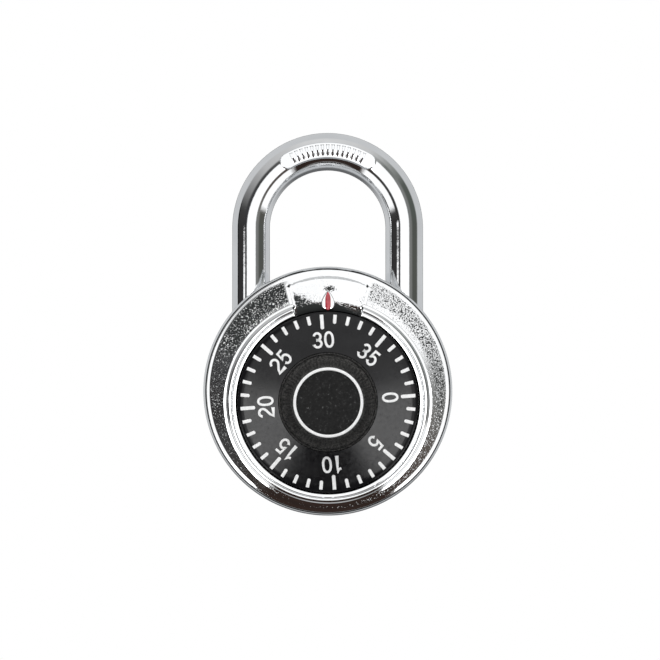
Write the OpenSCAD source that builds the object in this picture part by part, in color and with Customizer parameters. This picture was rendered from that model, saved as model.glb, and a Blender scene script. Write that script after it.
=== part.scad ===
// Round combination padlock with a numbered dial. Millimetres.
// The lock hangs upright: +Z is up, +X is to the right as its user sees it, and the dial faces -Y.
// The origin is the inside top of the shackle's bow, on the shackle's centre plane.
// Most parts are drawn in the face frame: x to the right, y up, z out of the dial towards the
// user, with the case centre on the shackle's centre plane as its origin.

/* [Case] */
// Outside diameter of the cover's rolled rim
case_d = 48; // [47.6:0.1:48.6]
// Depth of the case behind the shackle's centre plane
back_depth = 9; // [9:0.1:11]
// Height of the cover round the dial, in front of the shackle's centre plane
band_z = 8; // [7.9:0.1:8.2]
// Sheet thickness of the rear case
case_wall = 0.9; // [0.7:0.1:1]
// Sheet thickness of the front cover
cover_t = 0.8; // [0.6:0.1:0.9]
// Outside radius of the rear case's back corner
back_corner = 3; // [2:0.1:3.2]

/* [Cover] */
// Radius of the rolled rim's bead
rim_bead = 0.6; // [0.5:0.05:0.7]
// How far the cover falls from the dial to its rim
rim_drop = 1; // [0.6:0.1:1]
// Radius of the cover's level middle, from where it falls to the rim
level_r = 20.3; // [19:0.1:21]
// Outside radius of the ring round the dial
ring_r = 19.95; // [19.8:0.05:20.2]
// Height of the ring above the band
ring_rise = 0.7; // [0.5:0.05:0.9]
// Half of the index panel's angle, seen from the dial's axis
panel_half_angle = 19.3; // [15:0.1:22]
// Radius of the index panel's upper edge, about the case centre
panel_r = 21.8; // [21:0.1:22]

/* [Dial] */
// Distance of the dial's axis below the case centre
dial_drop = 2.1; // [1.9:0.05:2.2]
// Outside diameter of the dial
dial_d = 34.7; // [34:0.1:34.8]
// Diameter of the knob's foot
knob_d = 18.9; // [17:0.1:20]
// Diameter of the knob's flat top
knob_top_d = 13.6; // [12.6:0.1:14]
// Height of the knob above the dial's face
knob_h = 7.6; // [6:0.1:10]

/* [Shackle] */
// Diameter of the shackle's bar
bar_d = 7.3; // [7.15:0.05:7.35]
// Distance between the axes of the two legs
leg_pitch = 29.8; // [29.7:0.05:29.9]
// Clearance from the top of the case to the inside of the bow
bow_clearance = 18.9; // [17:0.1:25]
// Travel of the shackle from locked to clear of the case
shackle_lift = 12; // [11.8:0.1:12]

/* [Hidden] */
$fn = 96;

cut = 1;                                  // how far a cutter runs past the face it cuts
running = 0.06;                           // radial clearance of a running fit

case_r = case_d / 2;
shell_r = case_r - rim_bead;              // outside of the rear case, inside of the cover's skirt
inner_r = shell_r - case_wall;            // inside of the rear case
bow_height = case_r + bow_clearance;      // origin above the case centre
rim_z = band_z - rim_drop;                // height of the cover at its rim
case_front_z = rim_z - cover_t;           // front edge of the rear case
skirt_z = 4.6;                            // free edge of the cover's skirt
well_z = 6.9;                             // floor of the dial well
well_r = dial_d / 2 + 0.2;
ring_z = band_z + ring_rise;
panel_rise = 0.5;                         // index panel above the band
panel_z = band_z + panel_rise;
panel_reach = 30;                         // far past the panel's upper edge

// Index pointer, measured upwards from the dial's axis
mark_y = 19.55;
mark_l = 3.5;
mark_w = 1.05;
boss_l = 5.2;
boss_w = 2.4;
boss_z = panel_z + 0.3;
mark_t = 0.15;

// Mechanism plates
front_plate_z = [4.9, well_z - cover_t];
rear_plate_z = [-5.6, -4.6];
plate_rim = [19.3, 20.3];
post_r = 1.6;
post_tail_r = 1;
post_head_t = 0.6;
post_places = [[-8, -15.5], [8, -15.5], [0, 17.5]];

// Dial, knob and spindle
dial_r = dial_d / 2;
knob_r = knob_d / 2;
knob_top_r = knob_top_d / 2;
dial_z = [7.3, 9.5];
dial_cone_z = 10.1;                       // height of the dial's face at the knob
knob_z = [9.9, dial_cone_z + knob_h];
spindle_r = 2.5;
spindle_end_z = -6.9;
clip_z = [-6.15, -5.75];
clip_groove_r = 2;
bearing_r = 3.6;

// Wheel pack: back and front of each disc
wheel_r = 9.2;
cam_z = [2.9, 4.3];
middle_z = [0.3, 1.5];
rear_z = [-2.3, -1.1];
tab_l = 1;                                // how far a pick-up tab stands off its disc
tab_root = 0.5;                           // how deep the tab is let into its disc
tab_r = [5.2, 6.8];
tab_angle = 14;
tab_play = 0.5;                           // left between two tabs that meet
spacer_r = 4.6;
gate_w = 2.4;
gate_depth = 2.3;
gate_angle = 15;                          // gates at rest, from the top towards the toe leg
cam_gates = 12;
false_gate_depth = 0.6;
middle_back_swing = -151;                 // where the middle wheel meets the cam's tab
rear_back_swing = -331;                   // where the rear wheel meets the middle wheel's tab

// Shackle
bar_r = bar_d / 2;
leg_x = leg_pitch / 2;
leg_hole_r = bar_r + 0.2;
spring_y = bow_height - (leg_x - bar_r);  // where the legs run into the bow
heel_end_y = -11.8;
toe_end_y = 9.3;
toe_chamfer = 0.8;
notch_depth = 1.65;
lip_depth = 0.3;                          // what is left of the notch at the toe's end
notch_y = [toe_end_y + 3.3, toe_end_y + 6.2];
collar_y = [-10, -8.9];
collar_groove_r = 2.7;
collar_r = 4.3;
pad_r = [13.5, 16.5];                     // raised pad on the front of the bow
pad_half_angle = 31;
pad_z = bar_r + 0.3;
guide_r = 4.5;
heel_guide_y = 3.3;
toe_guide_y = 9;

// Locking lever
fence_r = wheel_r + 0.35;                 // inner end of the fence above the dial's axis
fence_w = 1.3;
fence_l = 2.3;
lever_arm = 10.5;                         // from the lever's pivot to the fence
lever_pivot = [-fence_r * sin(gate_angle) + lever_arm * cos(gate_angle),
    fence_r * cos(gate_angle) + lever_arm * sin(gate_angle) - dial_drop];
lever_z = [-4.2, -2.6];
lever_eye_r = 2.6;
lever_post_r = 1.4;
nose = [-2.6, 12.3];

// Latch
latch_pivot = [-14, -1];
latch_z = 1.2;                            // half of its thickness
latch_eye_r = 2.5;
latch_post_r = 1.3;
latch_tip_x = -12.7;
latch_tip_y = [12.7, 14.9];
latch_stem_x = [-11, -9];

// ---------------------------------------------------------------- frames and plain shapes

module face_frame() {
    translate([0, 0, -bow_height]) rotate([90, 0, 0]) children();
}

module dial_frame() {
    face_frame() translate([0, -dial_drop, 0]) children();
}

module to_dial() {
    translate([0, -dial_drop, 0]) children();
}

module disc(r, z) {
    translate([0, 0, z[0]]) cylinder(r = r, h = z[1] - z[0]);
}

module washer(outer, inner, z) {
    difference() {
        disc(outer, z);
        disc(inner, [z[0] - cut, z[1] + cut]);
    }
}

module block(x, y, z) {
    translate([x[0], y[0], z[0]]) cube([x[1] - x[0], y[1] - y[0], z[1] - z[0]]);
}

// Round bar along the y axis
module bar_y(r, y) {
    translate([0, y[0], 0]) rotate([-90, 0, 0]) cylinder(r = r, h = y[1] - y[0]);
}

// Half section of a round block with its back edge rounded
module rounded_section(r, back, front, corner) {
    translate([0, back]) square([r - corner, front - back]);
    translate([0, back + corner]) square([r, front - back - corner]);
    translate([r - corner, back + corner]) circle(corner);
}

// Pointed oval along y: the overlap of two circles
module pointed_oval(length, width) {
    arc_r = (length * length + width * width) / (4 * width);
    intersection() {
        translate([arc_r - width / 2, 0]) circle(arc_r);
        translate([width / 2 - arc_r, 0]) circle(arc_r);
    }
}

// Sector of a ring about z, centred on the angle a, which is measured from the y axis
// towards -x
module ring_sector(r, z, a, width) {
    rotate([0, 0, 90 + a - width / 2]) rotate_extrude(angle = width)
        translate([r[0], z[0]]) square([r[1] - r[0], z[1] - z[0]]);
}

// Torsion spring about z with straight, tangential ends, swept as one closed tube
spring_sides = 6;
spring_steps = 16;
function coil_point(r, z, turns, start, t) =
    let (a = start + 360 * turns * t) [r * cos(a), r * sin(a), z[0] + (z[1] - z[0]) * t];
function coil_axis_ring(centre, a, wire_r) =
    [for (k = [0 : spring_sides - 1]) let (b = 360 * k / spring_sides)
        centre + wire_r * [cos(b) * cos(a), cos(b) * sin(a), sin(b)]];

module torsion_spring(r, wire_r, z, turns, start, leg_in, leg_out) {
    steps = round(turns * spring_steps);
    finish = start + 360 * turns;
    first = coil_point(r, z, turns, start, 0) + leg_in * [sin(start), -cos(start), 0];
    last = coil_point(r, z, turns, start, 1) + leg_out * [-sin(finish), cos(finish), 0];
    rings = concat([coil_axis_ring(first, start, wire_r)],
        [for (i = [0 : steps]) coil_axis_ring(coil_point(r, z, turns, start, i / steps),
            start + 360 * turns * i / steps, wire_r)],
        [coil_axis_ring(last, finish, wire_r)]);
    n = spring_sides;
    count = len(rings);
    points = [for (ring = rings) each ring];
    sides = [for (i = [0 : count - 2], k = [0 : n - 1]) let (m = (k + 1) % n)
        [i * n + k, i * n + m, (i + 1) * n + m, (i + 1) * n + k]];
    start_cap = [for (k = [n - 1 : -1 : 0]) k];
    end_cap = [for (k = [0 : n - 1]) (count - 1) * n + k];
    polyhedron(points, concat([start_cap], sides, [end_cap]));
}

// ---------------------------------------------------------------- case

module rear_case() color("gainsboro") face_frame() difference() {
    rotate_extrude() rounded_section(shell_r, -back_depth, case_front_z, back_corner);
    rotate_extrude() rounded_section(inner_r, case_wall - back_depth, case_front_z + cut,
        back_corner - case_wall);
    for (side = [-1, 1]) translate([side * leg_x, 0, 0]) bar_y(leg_hole_r, [toe_end_y, case_r]);
}

// Sheet of the cover: level round the dial, then a cone that falls to the rim
module cover_sheet(t) {
    rotate_extrude() polygon([[0, band_z - cover_t], [level_r, band_z - cover_t],
        [shell_r - rim_bead, case_front_z], [shell_r, case_front_z], [shell_r, rim_z - cover_t + t],
        [shell_r - rim_bead, rim_z - cover_t + t], [level_r, band_z - cover_t + t],
        [0, band_z - cover_t + t]]);
}

// The index panel's outline: a sector about the dial's axis, cut off by an arc about the case's
module panel_sector() {
    translate([0, -dial_drop]) polygon([[0, 0],
        panel_reach * [-sin(panel_half_angle), cos(panel_half_angle)],
        panel_reach * [sin(panel_half_angle), cos(panel_half_angle)]]);
}

module index_panel() intersection() {
    linear_extrude(panel_z) intersection() {
        panel_sector();
        circle(panel_r);
    }
    cover_sheet(cover_t + panel_rise);
}

// Ring round the dial: a bevelled inner lip, a bead between two fine grooves and a shoulder
module ring_section() {
    lip = 0.8;
    bead = 0.45;
    groove = 0.15;
    shoulder_z = band_z + 0.5;
    polygon([[well_r, well_z - cover_t], [well_r, ring_z - 0.5], [well_r + lip, ring_z],
        [well_r + lip + groove, ring_z - groove], [ring_r - bead - groove, ring_z - groove],
        [ring_r - bead, shoulder_z], [ring_r, band_z], [ring_r, case_front_z]]);
    translate([(well_r + lip + ring_r) / 2 - groove, ring_z - bead]) circle(bead);
}

module front_cover() color("silver") face_frame() difference() {
    union() {
        cover_sheet(cover_t);
        washer(case_r, shell_r, [skirt_z, rim_z]);
        rotate_extrude() translate([case_r - rim_bead, rim_z]) circle(rim_bead);
        to_dial() disc(well_r + cut, [well_z - cover_t, band_z]);
        difference() {
            to_dial() rotate_extrude() ring_section();
            translate([0, 0, panel_z]) linear_extrude(cut) panel_sector();
        }
        index_panel();
        to_dial() translate([0, mark_y, band_z]) linear_extrude(boss_z - band_z)
            pointed_oval(boss_l, boss_w);
    }
    to_dial() disc(well_r, [well_z, ring_z + cut]);
    to_dial() disc(bearing_r, [well_z - cover_t - cut, well_z + cut]);
}

module index_mark() color("crimson") dial_frame() translate([0, mark_y, boss_z])
    linear_extrude(mark_t) pointed_oval(mark_l, mark_w);

module front_plate() color("darkkhaki") face_frame() difference() {
    disc(inner_r, front_plate_z);
    to_dial() disc(bearing_r, [front_plate_z[0] - cut, front_plate_z[1] + cut]);
    for (p = post_places) translate(p) disc(post_tail_r, [0, case_r]);
    translate(lever_pivot) disc(post_tail_r, [0, case_r]);
    translate(latch_pivot) disc(post_tail_r, [0, case_r]);
}

module rear_plate() color("darkkhaki") face_frame() difference() {
    union() {
        disc(plate_rim[1], rear_plate_z);
        washer(plate_rim[1], plate_rim[0], [case_wall - back_depth, rear_plate_z[0]]);
    }
    to_dial() disc(spindle_r + running, [-case_r, 0]);
    for (p = post_places) translate(p) disc(post_tail_r, [-case_r, 0]);
    translate(lever_pivot) disc(post_tail_r, [-case_r, 0]);
    translate(latch_pivot) disc(post_tail_r, [-case_r, 0]);
}

// Shouldered post between the two plates, riveted over behind the rear one
module riveted_post(r) {
    disc(r, [rear_plate_z[1], front_plate_z[0]]);
    disc(post_tail_r, [rear_plate_z[0], front_plate_z[1]]);
    disc(r, [rear_plate_z[0] - post_head_t, rear_plate_z[0]]);
}

module plate_posts() color("lightsteelblue") face_frame()
    for (p = post_places) translate(p) riveted_post(post_r);

module lever_post() color("lightsteelblue") face_frame() translate(lever_pivot)
    riveted_post(lever_post_r);

module latch_post() color("lightsteelblue") face_frame() translate(latch_pivot)
    riveted_post(latch_post_r);

module spindle_bearing() color("goldenrod") dial_frame() difference() {
    union() {
        disc(bearing_r, [front_plate_z[0], well_z]);
        disc(bearing_r + 1.2, [front_plate_z[0] - 0.4, front_plate_z[0]]);
    }
    disc(spindle_r + running, [0, case_r]);
}

// Guide bush of a shackle leg, cut to the inside of the case wall
module leg_guide(y) {
    intersection() {
        difference() {
            bar_y(guide_r, [y, case_r]);
            bar_y(bar_r + running, [y - cut, case_r + cut]);
        }
        children();
    }
}

module heel_guide() color("goldenrod") face_frame() translate([leg_x, 0, 0])
    leg_guide(heel_guide_y) translate([-leg_x, 0, 0]) disc(inner_r, [-case_r, case_r]);

module toe_guide() color("goldenrod") face_frame() difference() {
    translate([-leg_x, 0, 0]) leg_guide(toe_guide_y)
        translate([leg_x, 0, 0]) disc(inner_r, [-case_r, case_r]);
    block([-leg_x + 2.3, 0], [toe_guide_y - cut, latch_tip_y[1] + 0.9], [-1.6, 1.6]);
}

module lever_spring() color("dimgray") face_frame() translate(lever_pivot)
    torsion_spring(2.2, 0.25, [-0.7, 2.3], 5.3, 0, 4, 3);

module latch_spring() color("dimgray") face_frame() translate(latch_pivot)
    torsion_spring(2, 0.25, [1.7, 4], 4.3, 180, 2.5, 4);

module wheel_spring() color("dimgray") dial_frame() difference() {
    translate([0, 0, rear_plate_z[1]]) cylinder(r1 = 5, r2 = 3.7, h = 2.2);
    translate([0, 0, rear_plate_z[1]]) cylinder(r1 = 4.5, r2 = 3.2, h = 2.2);
    disc(spindle_r + running, [-case_r, 0]);
}

// ---------------------------------------------------------------- dial, knob and wheels

module dial_disc() color("black") dial_frame() difference() {
    rotate_extrude() polygon([[spindle_r, dial_z[0]], [dial_r - 0.3, dial_z[0]],
        [dial_r, dial_z[0] + 0.3], [dial_r, dial_z[1] - 0.4], [dial_r - 0.45, dial_z[1]],
        [knob_r + 0.1, dial_cone_z], [knob_r, knob_z[0]], [spindle_r, knob_z[0]]]);
    washer(dial_r - 1.2, 8, [dial_z[0] - cut, dial_z[0] + 0.9]);
}

module knob() color("black") dial_frame() difference() {
    foot = 0.5;
    waist = (knob_r + knob_top_r) / 2 - 0.5;
    flutes = 36;
    middle_z = (knob_z[0] + knob_z[1]) / 2;
    rotate_extrude() polygon([[spindle_r, knob_z[0]], [knob_r, knob_z[0]],
        [knob_r, dial_cone_z + foot / 2], [knob_r - foot, dial_cone_z + foot],
        [waist, middle_z], [knob_top_r, knob_z[1] - 1], [knob_top_r, knob_z[1] - 0.5],
        [knob_top_r - 0.7, knob_z[1] - 0.5], [knob_top_r - 0.7, knob_z[1]], [0, knob_z[1]],
        [0, knob_z[1] - 2], [spindle_r, knob_z[1] - 2]]);
    for (i = [0 : flutes - 1]) rotate([0, 0, 360 * i / flutes])
        translate([knob_top_r + 0.25, 0, knob_z[1] - 0.5]) rotate([0, 158, 0])
            cylinder(r = 0.35, h = knob_h - 1.2, $fn = 16);
}

module knob_ring() color("white") dial_frame()
    washer(knob_top_r, knob_top_r - 0.7, [knob_z[1] - 0.5, knob_z[1] - 0.05]);

module spindle() color("silver") dial_frame() difference() {
    disc(spindle_r, [spindle_end_z, knob_z[1] - 2]);
    washer(spindle_r + cut, clip_groove_r, clip_z);
}

module tension_washer() color("dimgray") dial_frame()
    washer(7, 4, [well_z + 0.05, dial_z[0] - 0.05]);

module spindle_clip() color("dimgray") dial_frame() difference() {
    washer(spindle_r + 1.7, clip_groove_r, clip_z);
    block([-clip_groove_r * 0.8, clip_groove_r * 0.8], [-case_r, 0], [-case_r, 0]);
}

module wheel_disc(z, gates, depth) {
    difference() {
        disc(wheel_r, z);
        for (a = gates) rotate([0, 0, a])
            block([-gate_w / 2, gate_w / 2], [wheel_r - depth, wheel_r + cut],
                [z[0] - cut, z[1] + cut]);
    }
}

module wheel_bore(z) {
    disc(spindle_r + running, [z[0] - 2 * tab_l, z[1] + 2 * tab_l]);
}

// The cam's tab stands at the top; the wheels' tabs follow from how far each wheel can turn
// before it meets the tab in front of it.
tab_reach = tab_angle + tab_play;
middle_tab = tab_reach - middle_back_swing;
rear_tab = middle_tab + 90 + tab_reach - rear_back_swing;

module drive_cam() color("goldenrod") dial_frame() difference() {
    union() {
        wheel_disc(cam_z, [for (i = [0 : cam_gates - 1]) gate_angle + 360 * i / cam_gates],
            gate_depth);
        ring_sector(tab_r, [cam_z[0] - tab_l, cam_z[0] + tab_root], 0, tab_angle);
    }
    disc(spindle_r, [cam_z[0] - cut, cam_z[1] + cut]);
}

module middle_wheel() color("darkgoldenrod") dial_frame() difference() {
    union() {
        intersection() {
            wheel_disc(middle_z, [gate_angle], gate_depth);
            wheel_disc(middle_z, [80, 140, 215, 290], false_gate_depth);
        }
        ring_sector(tab_r, [middle_z[1] - tab_root, middle_z[1] + tab_l], middle_tab, tab_angle);
        ring_sector(tab_r, [middle_z[0] - tab_l, middle_z[0] + tab_root], middle_tab + 90,
            tab_angle);
    }
    wheel_bore(middle_z);
}

module rear_wheel() color("peru") dial_frame() difference() {
    union() {
        intersection() {
            wheel_disc(rear_z, [gate_angle], gate_depth);
            wheel_disc(rear_z, [60, 120, 200, 265], false_gate_depth);
        }
        ring_sector(tab_r, [rear_z[1] - tab_root, rear_z[1] + tab_l], rear_tab, tab_angle);
    }
    wheel_bore(rear_z);
}

module wheel_spacers() color("silver") dial_frame() {
    washer(spacer_r, spindle_r, [middle_z[1] + 0.05, cam_z[0]]);
    washer(spacer_r, spindle_r, [rear_z[1] + 0.05, middle_z[0] - 0.05]);
}

// ---------------------------------------------------------------- shackle

// Raised pad on the front of the bow, with a row of plain ribs
module bow_pad() {
    middle_r = (pad_r[0] + pad_r[1]) / 2;
    end_r = (pad_r[1] - pad_r[0]) / 2;
    rib_step = 3.8;
    translate([0, spring_y, 0]) {
        ring_sector(pad_r, [0, pad_z], 0, 2 * pad_half_angle);
        for (side = [-1, 1]) rotate([0, 0, side * pad_half_angle])
            translate([0, middle_r, 0]) disc(end_r, [0, pad_z]);
        for (i = [-7 : 7]) rotate([0, 0, i * rib_step])
            block([-0.22, 0.22], [pad_r[0] + 0.5, pad_r[1] - 0.5], [pad_z - 0.1, pad_z + 0.2]);
    }
}

// Leg below the bow, with its lower end chamfered
module leg(end_y) {
    bar_y(bar_r, [end_y + toe_chamfer, spring_y]);
    translate([0, end_y, 0]) rotate([-90, 0, 0])
        cylinder(r1 = bar_r - toe_chamfer, r2 = bar_r, h = toe_chamfer);
}

// Notch for the latch: a flat seat, and a ramp that runs out near the toe's end
module latch_notch() {
    inner_x = bar_r - leg_x;
    translate([0, 0, -case_r]) linear_extrude(2 * case_r) polygon([
        [inner_x + cut, notch_y[1]], [inner_x - notch_depth, notch_y[1]],
        [inner_x - notch_depth, notch_y[0]], [inner_x - lip_depth, toe_end_y],
        [inner_x - lip_depth, toe_end_y - cut], [inner_x + cut, toe_end_y - cut]]);
}

module shackle() color("silver") face_frame() difference() {
    union() {
        translate([leg_x, 0, 0]) leg(heel_end_y);
        translate([-leg_x, 0, 0]) leg(toe_end_y);
        translate([0, spring_y, 0]) rotate_extrude(angle = 180) translate([leg_x, 0])
            circle(bar_r);
        bow_pad();
    }
    latch_notch();
    translate([leg_x, 0, 0]) difference() {
        bar_y(bar_r + cut, collar_y);
        bar_y(collar_groove_r, [collar_y[0] - cut, collar_y[1] + cut]);
    }
}

module heel_collar() color("goldenrod") face_frame() translate([leg_x, 0, 0]) difference() {
    bar_y(collar_r, collar_y);
    bar_y(collar_groove_r, [collar_y[0] - cut, collar_y[1] + cut]);
    block([-0.6, 0.6], [collar_y[0] - cut, collar_y[1] + cut], [0, case_r]);
}

// ---------------------------------------------------------------- locking lever and latch

module locking_lever() color("steelblue") face_frame() difference() {
    fence_foot = [-sin(gate_angle), cos(gate_angle)];
    fence_top = fence_r + fence_l;
    union() {
        translate([0, 0, lever_z[0]]) linear_extrude(lever_z[1] - lever_z[0])
            polygon([lever_pivot - [0.6, 2.5], fence_foot * (fence_r + 0.9) - [-1, dial_drop],
                fence_foot * (fence_r + 0.9) - [0.65, dial_drop],
                fence_foot * fence_top - [1.2, dial_drop], nose - [0.6, 0.8], nose + [-0.6, 1.2],
                nose + [0.8, 1.6], lever_pivot + [0, 2.6]]);
        translate(lever_pivot) disc(lever_eye_r, lever_z);
        translate(lever_pivot) disc(lever_post_r + 0.5, [lever_z[0], -1]);
        to_dial() rotate([0, 0, gate_angle])
            block([-fence_w / 2, fence_w / 2], [fence_r, fence_top], [lever_z[0], cam_z[1]]);
        translate(nose) block([-0.6, 0.6], [-0.8, 1.2], [lever_z[0], latch_z]);
    }
    translate(lever_pivot) disc(lever_post_r + running, [-case_r, case_r]);
}

module latch() color("steelblue") face_frame() difference() {
    union() {
        translate(latch_pivot) disc(latch_eye_r, [-latch_z, latch_z]);
        translate([0, 0, -latch_z]) linear_extrude(2 * latch_z) polygon([
            latch_pivot + [-1.2, 2], [latch_stem_x[0] - 0.9, 5.2], [latch_stem_x[0], 8.2],
            [latch_stem_x[0], latch_tip_y[0]], [latch_tip_x, latch_tip_y[0]],
            [latch_tip_x, latch_tip_y[1] - 0.4], [latch_tip_x + 0.4, latch_tip_y[1]],
            [latch_stem_x[1], latch_tip_y[1]], [latch_stem_x[1], 8], [latch_stem_x[1] - 0.9, 4],
            latch_pivot + [2.4, 0.6]]);
    }
    translate(latch_pivot) disc(latch_post_r + running, [-case_r, case_r]);
}

rear_case();
front_cover();
index_mark();
front_plate();
rear_plate();
plate_posts();
spindle_bearing();
heel_guide();
toe_guide();
lever_post();
latch_post();
lever_spring();
latch_spring();
wheel_spring();
dial_disc();
knob();
knob_ring();
spindle();
drive_cam();
wheel_spacers();
tension_washer();
spindle_clip();
middle_wheel();
rear_wheel();
shackle();
heel_collar();
locking_lever();
latch();
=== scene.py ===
"""Round combination padlock: the looks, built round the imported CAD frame.

Everything that has a shape here is drawn in millimetres in the face frame: x to the right, y up and
z out of the dial towards the user, from the case centre on the shackle's centre plane. world() turns
that into the row frame, in metres.
"""
import math

import bmesh
import bpy
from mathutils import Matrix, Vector

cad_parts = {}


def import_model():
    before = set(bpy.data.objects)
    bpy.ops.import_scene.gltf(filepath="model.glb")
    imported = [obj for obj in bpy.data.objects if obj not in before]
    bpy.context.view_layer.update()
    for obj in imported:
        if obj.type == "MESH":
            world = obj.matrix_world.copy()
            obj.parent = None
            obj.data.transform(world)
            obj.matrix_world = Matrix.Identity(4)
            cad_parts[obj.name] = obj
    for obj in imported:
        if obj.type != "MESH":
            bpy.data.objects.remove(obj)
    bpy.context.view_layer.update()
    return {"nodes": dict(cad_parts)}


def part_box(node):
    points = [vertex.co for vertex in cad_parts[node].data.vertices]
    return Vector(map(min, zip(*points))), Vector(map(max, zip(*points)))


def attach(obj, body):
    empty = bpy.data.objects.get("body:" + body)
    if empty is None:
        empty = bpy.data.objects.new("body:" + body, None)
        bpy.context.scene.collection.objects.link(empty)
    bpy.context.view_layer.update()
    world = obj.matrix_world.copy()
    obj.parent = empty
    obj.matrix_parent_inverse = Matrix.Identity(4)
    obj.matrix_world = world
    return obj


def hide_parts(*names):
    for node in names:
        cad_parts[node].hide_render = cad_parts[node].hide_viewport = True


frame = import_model()

MM = 0.001
SEGMENTS = 360

# ---------------- sizes taken from the frame


def span(node, axis):
    lo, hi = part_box(node)
    return lo[axis] / MM, hi[axis] / MM


X, Y, Z = range(3)
cover_x, cover_z = span("front_cover", X), span("front_cover", Z)
dial_x, dial_y, dial_z = span("dial_disc", X), span("dial_disc", Y), span("dial_disc", Z)
knob_x, knob_y = span("knob", X), span("knob", Y)
shackle_x, shackle_y, shackle_z = (span("shackle", axis) for axis in (X, Y, Z))
rear_x, rear_y = span("rear_case", X), span("rear_case", Y)
mark_x, mark_y, mark_z = (span("index_mark", axis) for axis in (X, Y, Z))

CASE_R = (cover_x[1] - cover_x[0]) / 2
CASE_CENTRE_Z = sum(cover_z) / 2
DIAL_DROP = CASE_CENTRE_Z - sum(dial_z) / 2
DIAL = (0.0, -DIAL_DROP)
DIAL_R = (dial_x[1] - dial_x[0]) / 2
DIAL_FACE_Z = -dial_y[0]
DIAL_BACK_Z = -dial_y[1]
KNOB_R = (knob_x[1] - knob_x[0]) / 2
KNOB_TOP_Z = -knob_y[0]
KNOB_FOOT_Z = -knob_y[1]
SHELL_R = (rear_x[1] - rear_x[0]) / 2
BACK_Z = -rear_y[1]
CASE_FRONT_Z = -rear_y[0]
BAR_R = shackle_y[1]
LEG_X = shackle_x[1] - BAR_R
SPRING_Y = shackle_z[1] - CASE_CENTRE_Z - LEG_X - BAR_R
HEEL_END_Y = shackle_z[0] - CASE_CENTRE_Z
SKIRT_Z = -span("front_cover", Y)[1]


# ---------------- meshes


def world(p):
    return Vector((p[0] * MM, -p[2] * MM, (p[1] + CASE_CENTRE_Z) * MM))


def add_object(name, data):
    added = bpy.data.objects.new(name, data)
    bpy.context.scene.collection.objects.link(added)
    return added


def solid(name, points, faces, sharp=35):
    """A mesh object from face-frame points, with its normals outwards and shaded smooth."""
    mesh = bpy.data.meshes.new(name)
    mesh.from_pydata([world(p) for p in points], [], faces)
    bm = bmesh.new()
    bm.from_mesh(mesh)
    bmesh.ops.remove_doubles(bm, verts=bm.verts, dist=1e-7)
    bmesh.ops.recalc_face_normals(bm, faces=bm.faces)
    bm.to_mesh(mesh)
    bm.free()
    mesh.shade_smooth()
    mesh.set_sharp_from_angle(angle=math.radians(sharp))
    return add_object(name, mesh)


def grid(rows, closed_rows=False):
    """Faces between rows of points that all have the same length, each row closed on itself."""
    n = len(rows[0])
    points = [p for row in rows for p in row]
    faces = []
    last = len(rows) if closed_rows else len(rows) - 1
    for j in range(last):
        a, b = j * n, (j + 1) % len(rows) * n
        for i in range(n):
            k = (i + 1) % n
            faces.append((a + i, a + k, b + k, b + i))
    if not closed_rows:
        faces.append(tuple(range(n)))
        faces.append(tuple((len(rows) - 1) * n + i for i in range(n)))
    return points, faces


def around(r, z, centre, n=SEGMENTS, wave=None):
    row = []
    for i in range(n):
        a = math.tau * i / n
        q = r + (wave(a) if wave else 0)
        row.append((centre[0] + q * math.sin(a), centre[1] + q * math.cos(a), z))
    return row


def lathe(name, outline, centre=(0, 0), ring=False, n=SEGMENTS):
    """Turn an outline of (r, z) about z. ring closes the outline on itself; otherwise its ends
    are closed with flat caps."""
    return solid(name, *grid([around(r, z, centre, n) for r, z in outline], closed_rows=ring))


def arc(cr, cz, radius, start, end, steps=6):
    """Points of an arc in an outline, with its angles in degrees from +r towards +z."""
    points = []
    for i in range(steps + 1):
        a = math.radians(start + (end - start) * i / steps)
        points.append((cr + radius * math.cos(a), cz + radius * math.sin(a)))
    return points


def smooth(lo, hi, v):
    """0 at lo and 1 at hi, whichever is the greater, with a soft step between them."""
    t = min(max((v - lo) / (hi - lo), 0), 1)
    return t * t * (3 - 2 * t)


def window(v, rise, fall):
    """1 between two soft steps, each given as (where it is 0, where it is 1)."""
    return smooth(*rise, v) * smooth(*fall, v)


def give_attribute(piece, name, values):
    """A vertex attribute. The points keep their order in solid(), because none of them coincide."""
    piece.data.attributes.new(name, "FLOAT", "POINT").data.foreach_set("value", values)


def subtract(piece, cutters):
    for cutter in cutters:
        m = piece.modifiers.new("cut", "BOOLEAN")
        m.operation, m.solver, m.object = "DIFFERENCE", "EXACT", cutter
    bpy.context.view_layer.update()
    cut = bpy.data.meshes.new_from_object(piece.evaluated_get(bpy.context.evaluated_depsgraph_get()))
    piece.modifiers.clear()
    piece.data = cut
    for cutter in cutters:
        bpy.data.objects.remove(cutter)
    cut.shade_smooth()
    cut.set_sharp_from_angle(angle=math.radians(35))
    return piece


def finish_piece(piece, material, body, slot, *nodes):
    piece.data.materials.clear()
    piece.data.materials.append(material)
    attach(piece, body)
    if nodes:
        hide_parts(*nodes)
    return piece


# ---------------- materials


def rgba(colour):
    """A colour of (r, g, b), or a plain grey, with its alpha."""
    return (*colour, 1) if isinstance(colour, tuple) else (colour, colour, colour, 1)


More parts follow.
